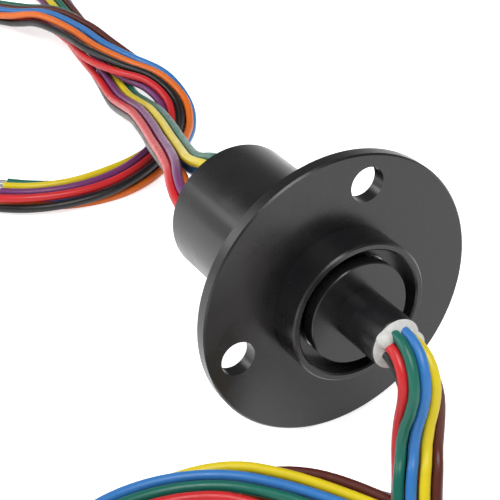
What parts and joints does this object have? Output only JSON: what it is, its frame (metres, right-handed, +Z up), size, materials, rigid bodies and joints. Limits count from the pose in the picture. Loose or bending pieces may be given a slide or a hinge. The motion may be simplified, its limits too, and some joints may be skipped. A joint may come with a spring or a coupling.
{
  "type": "slip ring",
  "caption": "Slip ring with a round bolted flange: black housing, hollow shaft turning in ball bearings, grooved contact rings with wire brushes, and coloured leads at both ends.",
  "frame": {"origin": "centre of the rear (mounting) face of the flange, on the rotation axis", "axes": "+X along the rotation axis towards the shaft; +Z up; the first bolt hole lies 43.5 degrees below +Y"},
  "size_m": [0.2628, 0.0998, 0.0445],
  "materials": {
    "housing_black": "moulded, semi-gloss",
    "rotor_black": "moulded, semi-gloss",
    "insulator": "moulded, matt",
    "gold_alloy": "gold plated",
    "bearing_steel": "ground",
    "ball_steel": "polished",
    "cage_brass": "pressed",
    "potting_white": "cured sealant, uneven",
    "lead_red": "wire insulation",
    "lead_green": "wire insulation",
    "lead_blue": "wire insulation",
    "lead_yellow": "wire insulation",
    "lead_brown": "wire insulation",
    "lead_purple": "wire insulation",
    "lead_orange": "wire insulation",
    "lead_black": "wire insulation"
  },
  "bodies": {
    "stator": {"housing": "housing_black", "rear_cap": "housing_black", "front_outer_race": "bearing_steel", "rear_outer_race": "bearing_steel", "brush_block_upper": "insulator", "brush_block_lower": "insulator", "brush_1": "gold_alloy", "brush_2": "gold_alloy", "brush_3": "gold_alloy", "brush_4": "gold_alloy", "brush_5": "gold_alloy", "brush_6": "gold_alloy", "brush_7": "gold_alloy", "brush_8": "gold_alloy", "outlet_potting_upper": "potting_white", "outlet_potting_side": "potting_white", "stator_lead_green": "lead_green", "stator_lead_yellow": "lead_yellow", "stator_lead_purple": "lead_purple", "stator_lead_red": "lead_red", "stator_lead_black": "lead_black", "stator_lead_orange": "lead_orange", "stator_lead_blue": "lead_blue", "stator_lead_brown": "lead_brown"},
    "rotor": {"rotor_shaft": "rotor_black", "ring_barrel": "insulator", "retaining_ring": "bearing_steel", "front_inner_race": "bearing_steel", "rear_inner_race": "bearing_steel", "contact_ring_1": "gold_alloy", "contact_ring_2": "gold_alloy", "contact_ring_3": "gold_alloy", "contact_ring_4": "gold_alloy", "contact_ring_5": "gold_alloy", "contact_ring_6": "gold_alloy", "contact_ring_7": "gold_alloy", "contact_ring_8": "gold_alloy", "shaft_potting": "potting_white", "rotor_lead_red": "lead_red", "rotor_lead_green": "lead_green", "rotor_lead_blue": "lead_blue", "rotor_lead_yellow": "lead_yellow", "rotor_lead_brown": "lead_brown", "rotor_lead_purple": "lead_purple", "rotor_lead_orange": "lead_orange", "rotor_lead_black": "lead_black"},
    "front_ball_set": {"front_balls": "ball_steel", "front_cage": "cage_brass"},
    "rear_ball_set": {"rear_balls": "ball_steel", "rear_cage": "cage_brass"}
  },
  "joints": [
    {"name": "rotor_spin", "type": "hinge", "parent": "stator", "child": "rotor", "pos_m": [0, 0, 0], "axis": [1, 0, 0], "continuous": true},
    {"name": "front_balls_spin", "type": "hinge", "parent": "stator", "child": "front_ball_set", "pos_m": [0.0015, 0, 0], "axis": [1, 0, 0], "continuous": true},
    {"name": "rear_balls_spin", "type": "hinge", "parent": "stator", "child": "rear_ball_set", "pos_m": [-0.0242, 0, 0], "axis": [1, 0, 0], "continuous": true}
  ],
  "couplings": [
    {"joint": "front_balls_spin", "follows": "rotor_spin", "ratio": 0.4167},
    {"joint": "rear_balls_spin", "follows": "rotor_spin", "ratio": 0.3846}
  ]
}
